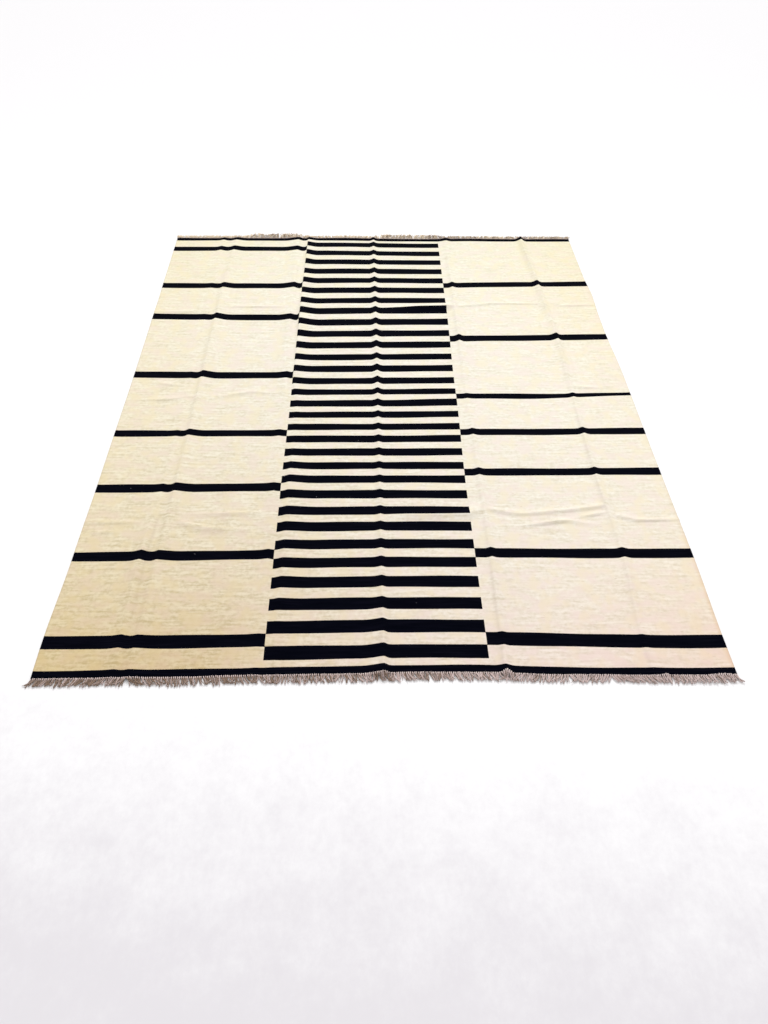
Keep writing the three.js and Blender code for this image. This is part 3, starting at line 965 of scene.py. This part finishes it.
def yarn_path(root, outward, lean, length, inside, arch, drawn_in, kind, draw):
    """The points down the middle of one yarn: off the cloth's edge, down to the floor, and out."""
    s = np.linspace(0, 1, YARN_STEPS + 1)
    x, y, floor_lift = root
    radius = kind["radius"]
    bend = draw.normal(0, kind["curl"])
    wave = draw.normal(0, 1.0)
    out = s * (length + inside) - inside
    level = kind["level"] * draw.uniform(0, 1)
    start = floor_lift + THICKNESS + radius * ROOT_RISE
    fallen = np.clip(out + ROOT_OVERLAP, 0, None) / (FALL_REACH + floor_lift)
    fall = np.clip(1 - fallen, 0, 1)
    share = np.clip(out / length, 0, 1)
    arched = arch * draw.uniform(0.3, 1)
    rest = radius + level + arched * np.sin(math.pi * share * draw.uniform(0.6, 1))
    height = rest + (start - radius) * fall * fall * (3 - 2 * fall)
    aside = lean * np.clip(out, 0, None)
    aside += bend * length * share**2 * BEND_SHARE + wave * np.sin(share * WAVE_TURN)
    aside += drawn_in * np.sin(share * math.pi / 2)
    leaning = np.clip(abs(lean) + abs(bend) * BEND_LEANS, 0, LEAN_LIMIT)
    reach = out * (1 - LEAN_SHORTENS * leaning * share)
    height = np.maximum(height, radius * FLOOR_REST)
    return np.stack([x + aside, y + outward * reach, height], -1)


def yarn_rings(path, thickness, phase):
    """Rings of points round a yarn's path: two twisted plies make a lobed section that turns."""
    along = np.gradient(path, axis=0)
    along /= np.linalg.norm(along, axis=1, keepdims=True)
    aside = np.cross(along, (0, 0, 1.0))
    aside /= np.maximum(np.linalg.norm(aside, axis=1, keepdims=True), 1e-6)
    up = np.cross(aside, along)
    steps = np.linalg.norm(np.diff(path, axis=0), axis=1)
    travelled = np.concatenate([[0], np.cumsum(steps)])
    turn = phase + 2 * np.pi * travelled / YARN_TWIST
    angle = np.arange(YARN_SIDES) * 2 * np.pi / YARN_SIDES
    lobe = LOBE_MIDDLE + LOBE_DEPTH * np.cos(2 * (angle[None, :] - turn[:, None]))
    radius = thickness[:, None] * lobe
    rings = (
        path[:, None]
        + radius[..., None] * np.cos(angle)[None, :, None] * aside[:, None]
        + radius[..., None] * np.sin(angle)[None, :, None] * up[:, None]
    )
    return rings, lobe


def lean_at(clumps, x):
    """How far the yarns at x lean to the right, between the two ends of their clump."""
    k = int(np.clip(np.searchsorted(clumps["x"], x, "right") - 1, 0, len(clumps["x"]) - 2))
    share = (x - clumps["x"][k]) / (clumps["x"][k + 1] - clumps["x"][k])
    return float(clumps["first"][k] * (1 - share) + clumps["last"][k] * share)


def yarn_faces(first):
    """Faces of one yarn's tube and its two ends, from the number of its first point."""
    ring = np.arange(YARN_SIDES)
    here = first + np.arange(YARN_STEPS)[:, None] * YARN_SIDES + ring
    beside = first + np.arange(YARN_STEPS)[:, None] * YARN_SIDES + np.roll(ring, -1)
    tube = np.stack([here, beside, beside + YARN_SIDES, here + YARN_SIDES], -1)
    ends = [(first + ring[::-1]).tolist(), (first + YARN_STEPS * YARN_SIDES + ring).tolist()]
    return tube.reshape(-1, 4).tolist() + ends


def make_fringe(name, outward, clumps, lengths, seed, material):
    """All yarns of one end, of one kind after the other."""
    draw = np.random.default_rng(seed)
    edges = bar_edges()
    last_bar = len(edges) - 1
    weave, bar = (edges[0], 0) if outward < 0 else (edges[-1], last_bar)
    end = np.array([weave])
    left = -WIDTH / 2 + eased(SIDE_EDGES, "y", end, "left")[0] + CORNER_INSET
    right = WIDTH / 2 + eased(SIDE_EDGES, "y", end, "right")[0] - CORNER_INSET
    points, faces, tones, plies, shares = [], [], [], [], []
    s = np.linspace(0, 1, YARN_STEPS + 1)
    for k in range(len(YARNS["pitch"])):
        kind = {column: YARNS[column][k] for column in YARNS}
        count = round((right - left) / kind["pitch"])
        for i in range(count + 1):
            x = left + (right - left) * i / count + draw.normal(0, PLACE_SPREAD)
            x = np.clip(x, left, right)
            here = {column: np.interp(x, lengths["x"], lengths[column]) for column in lengths}
            place = np.array([x])
            y = (end + wander(place, end) + weft_ripple(place, bar))[0]
            root = (x, y, lift(place, np.array([y]))[0])
            lean = lean_at(clumps, x) + draw.normal(0, kind["stray"])
            length = here["length"] * kind["length"] * draw.normal(1, SIZE_SPREAD)
            inside = here["inside"] * draw.uniform(0.7, 1) * kind["knotted"]
            tuft = left + TUFT * (np.floor((x - left) / TUFT) + 0.5)
            drawn_in = (tuft - x) * here["gather"]
            arch = here["arch"]
            path = yarn_path(root, outward, lean, length, inside, arch, drawn_in, kind, draw)
            swell = (1 - kind["taper"] * s) * np.where(s < KNOT_SHARE, KNOT_WIDTH, 1)
            thickness = kind["radius"] * draw.normal(1, SIZE_SPREAD) * swell
            thickness[-1] *= TIP_WIDTH
            rings, lobe = yarn_rings(path, thickness, draw.uniform(0, 2 * np.pi))
            faces += yarn_faces(len(points) * rings.shape[0] * YARN_SIDES)
            points.append(rings.reshape(-1, 3))
            tone = draw.uniform(0, 1) - here["dark"] - FRAYED_DARKER * k
            tones.append(np.full(lobe.size, tone))
            plies.append((lobe.ravel() - LOBE_MIDDLE + LOBE_DEPTH) / (2 * LOBE_DEPTH))
            shares.append(np.repeat(s + FRAYED_START * (1 - kind["knotted"]), YARN_SIDES))
    fringe = make_mesh(name, np.concatenate(points), faces, material)
    for attribute_name, values in (("tone", tones), ("ply", plies), ("along", shares)):
        add_values(fringe.data, attribute_name, np.concatenate(values))
    return fringe


# Colours of the fringe's yarn: between brown and pale by its tone, darker between its plies, which
# is painted shade, and paler at its roots. Each range says where along a value a colour comes in
YARN_PALE = (0.63, 0.505, 0.485, 1)
YARN_STRAW = (0.87, 0.73, 0.53, 1)
YARN_BROWN = (0.245, 0.168, 0.122, 1)
YARN_PLY_SHADE = (0.06, 0.04, 0.035, 1)
YARN_ROOT = (0.72, 0.6, 0.57, 1)
FIBRE_SHARE = 0.8
BETWEEN_PLIES = (0.6, 0.0)
BETWEEN_PLIES_SHARE = 0.5
AT_ROOT = (0.24, 0.1)
AT_ROOT_SHARE = 0.75


def fringe_yarn(name, pale):
    """The material of one fringe, whose palest yarns have the given colour."""
    material, tree, shader, place = new_material(name)
    fibre = noise(tree, place, (700, 700, 700), detail=2)
    tone = calc(tree, "SUBTRACT", attribute(tree, "tone"), FIBRE_SHARE / 2)
    tone = calc(tree, "MULTIPLY_ADD", fibre, FIBRE_SHARE, tone)
    colour = mixed(tree, ramp(tree, tone, 0.0, 1.0), YARN_BROWN, pale)
    # Painted shade in the hollows between the plies
    ply_shade = ramp(tree, attribute(tree, "ply"), *BETWEEN_PLIES, 0.0, BETWEEN_PLIES_SHARE)
    colour = mixed(tree, ply_shade, colour, YARN_PLY_SHADE)
    root = ramp(tree, attribute(tree, "along"), *AT_ROOT, 0.0, AT_ROOT_SHARE)
    colour = mixed(tree, root, colour, YARN_ROOT)
    tree.links.new(colour, shader.inputs["Base Color"])
    shader.inputs["Roughness"].default_value = 0.9
    shader.inputs["Specular IOR Level"].default_value = 0.2
    add_bump(tree, shader, fibre, strength=0.5, distance=0.0004)
    return material


# The floor: half its width, its colours, and the painted shade that greys it towards the viewer.
# The painted shade's edge slants a little, is broken up by two noises, and comes in over a range
FLOOR_HALF = 40
FLOOR_WHITE = (0.87, 0.865, 0.875, 1)
FLOOR_SHADE_GREY = (0.7, 0.68, 0.707, 1)
FLOOR_SLANT = 0.12
FLOOR_MOTTLE = 0.75
FLOOR_FINE_NOISE = 0.35
FLOOR_SHADE_RANGE = (1.7, 2.55)


def make_floor():
    """A plain pale floor, far wider than the view, greyed towards the viewer by painted shade."""
    mesh = bpy.data.meshes.new("floor")
    corners = [(FLOOR_HALF * x, FLOOR_HALF * y, 0) for x, y in ((-1, -1), (1, -1), (1, 1), (-1, 1))]
    mesh.from_pydata(corners, [], [(0, 1, 2, 3)])
    floor = bpy.data.objects.new("floor", mesh)
    bpy.context.scene.collection.objects.link(floor)
    material, tree, shader, place = new_material("floor_paint")
    split = node(tree, "ShaderNodeSeparateXYZ", {0: place})
    mottle = noise(tree, place, (7, 7, 1), detail=6, roughness=0.7)
    fine_noise = noise(tree, place, (60, 40, 1), detail=3, roughness=0.7)
    # Painted shade greys the floor towards the viewer, past an edge that slants and is broken up by
    # noise
    beyond = calc(tree, "MULTIPLY_ADD", split.outputs[0], FLOOR_SLANT, split.outputs[1])
    painted_floor_shade = calc(tree, "MULTIPLY_ADD", mottle, FLOOR_MOTTLE, times(tree, fine_noise, FLOOR_FINE_NOISE))
    painted_floor_shade = calc(tree, "SUBTRACT", painted_floor_shade, beyond)
    colour = mixed(tree, ramp(tree, painted_floor_shade, *FLOOR_SHADE_RANGE), FLOOR_WHITE, FLOOR_SHADE_GREY)
    tree.links.new(colour, shader.inputs["Base Color"])
    shader.inputs["Roughness"].default_value = 0.85
    shader.inputs["Specular IOR Level"].default_value = 0.1
    mesh.materials.append(material)


def aimed(place, target):
    """The turn of a light that shines from one place to another."""
    return (Vector(target) - Vector(place)).to_track_quat("-Z", "Y").to_euler()


def add_light(name, kind, power, colour):
    data = bpy.data.lights.new(name, kind)
    data.energy = power
    data.color = colour
    light = bpy.data.objects.new(name, data)
    bpy.context.scene.collection.objects.link(light)
    return light


# Daylight from all round and from beyond the far end, and a lamp panel over the rug, in metres
SKY_COLOUR = (1.0, 0.985, 0.975, 1)
SKY_STRENGTH = 0.75
SUN_COLOUR = (0.99, 1.0, 1.02)
SUN_STRENGTH = 2.0
SUN_SPREAD = math.radians(24)
SUN_HEADING = (-0.06, -0.84, -0.6)
PANEL_PLACE = (0.3, 0.4, 2.4)
PANEL_TARGET = (0.3, 0.4, 0)
PANEL_SIZE = (2.5, 1.8)
PANEL_POWER = 14


def make_lights():
    """Soft daylight from all round, more of it from beyond the far end, and a panel overhead."""
    scene = bpy.context.scene
    world = bpy.data.worlds.new("studio")
    scene.world = world
    world.use_nodes = True
    sky = world.node_tree.nodes["Background"]
    sky.inputs["Color"].default_value = SKY_COLOUR
    sky.inputs["Strength"].default_value = SKY_STRENGTH
    daylight = add_light("daylight", "SUN", SUN_STRENGTH, SUN_COLOUR)
    daylight.data.angle = SUN_SPREAD
    daylight.rotation_euler = aimed((0, 0, 0), SUN_HEADING)
    panel = add_light("panel", "AREA", PANEL_POWER, (1.0, 1.0, 1.0))
    panel.data.shape = "RECTANGLE"
    panel.data.size, panel.data.size_y = PANEL_SIZE
    panel.location = PANEL_PLACE
    panel.rotation_euler = aimed(PANEL_PLACE, PANEL_TARGET)
    scene.view_settings.view_transform = "Standard"


# The camera: a 27 mm full-frame lens, held at standing height and tilted down to the rug. Its place
# is in millimetres from the cloth's middle
FOCAL_PIXELS = 769
PICTURE_HEIGHT = 1024
SENSOR = 36
CAMERA_PLACE = (-78.9, -2185.3, 1720.6)
PITCH, ROLL, YAW = (math.radians(angle) for angle in (46.78, -1.99, 2.79))


def make_camera():
    data = bpy.data.cameras.new("camera")
    data.sensor_width = SENSOR
    data.lens = FOCAL_PIXELS / PICTURE_HEIGHT * SENSOR
    camera = bpy.data.objects.new("camera", data)
    level = math.cos(PITCH)
    forward = Vector((math.sin(YAW) * level, math.cos(YAW) * level, -math.sin(PITCH)))
    level_right = Vector((math.cos(YAW), -math.sin(YAW), 0))
    level_down = forward.cross(level_right)
    right = math.cos(ROLL) * level_right + math.sin(ROLL) * level_down
    down = math.cos(ROLL) * level_down - math.sin(ROLL) * level_right
    turn = Matrix((right, -down, -forward)).transposed()
    camera.matrix_world = Matrix.Translation(Vector(CAMERA_PLACE) * MM + SHIFT) @ turn.to_4x4()
    bpy.context.scene.collection.objects.link(camera)
    bpy.context.scene.camera = camera


make_camera()
make_lights()
make_floor()

cloth = make_cloth(woven_wool())
near_fringe = make_fringe(
    "kilim_fringe_near",
    outward=-1,
    clumps=NEAR_CLUMPS,
    lengths=NEAR_LENGTHS,
    seed=11,
    material=fringe_yarn("fringe_yarn_near", YARN_PALE),
)
far_fringe = make_fringe(
    "kilim_fringe_far",
    outward=1,
    clumps=FAR_CLUMPS,
    lengths=FAR_LENGTHS,
    seed=23,
    material=fringe_yarn("fringe_yarn_far", YARN_STRAW),
)

for piece, solid, slot in (
    (cloth, "cloth", "woven_wool"),
    (near_fringe, "fringe_near", "fringe_yarn"),
    (far_fringe, "fringe_far", "fringe_yarn"),
):
    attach(piece, body)
    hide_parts(solid)
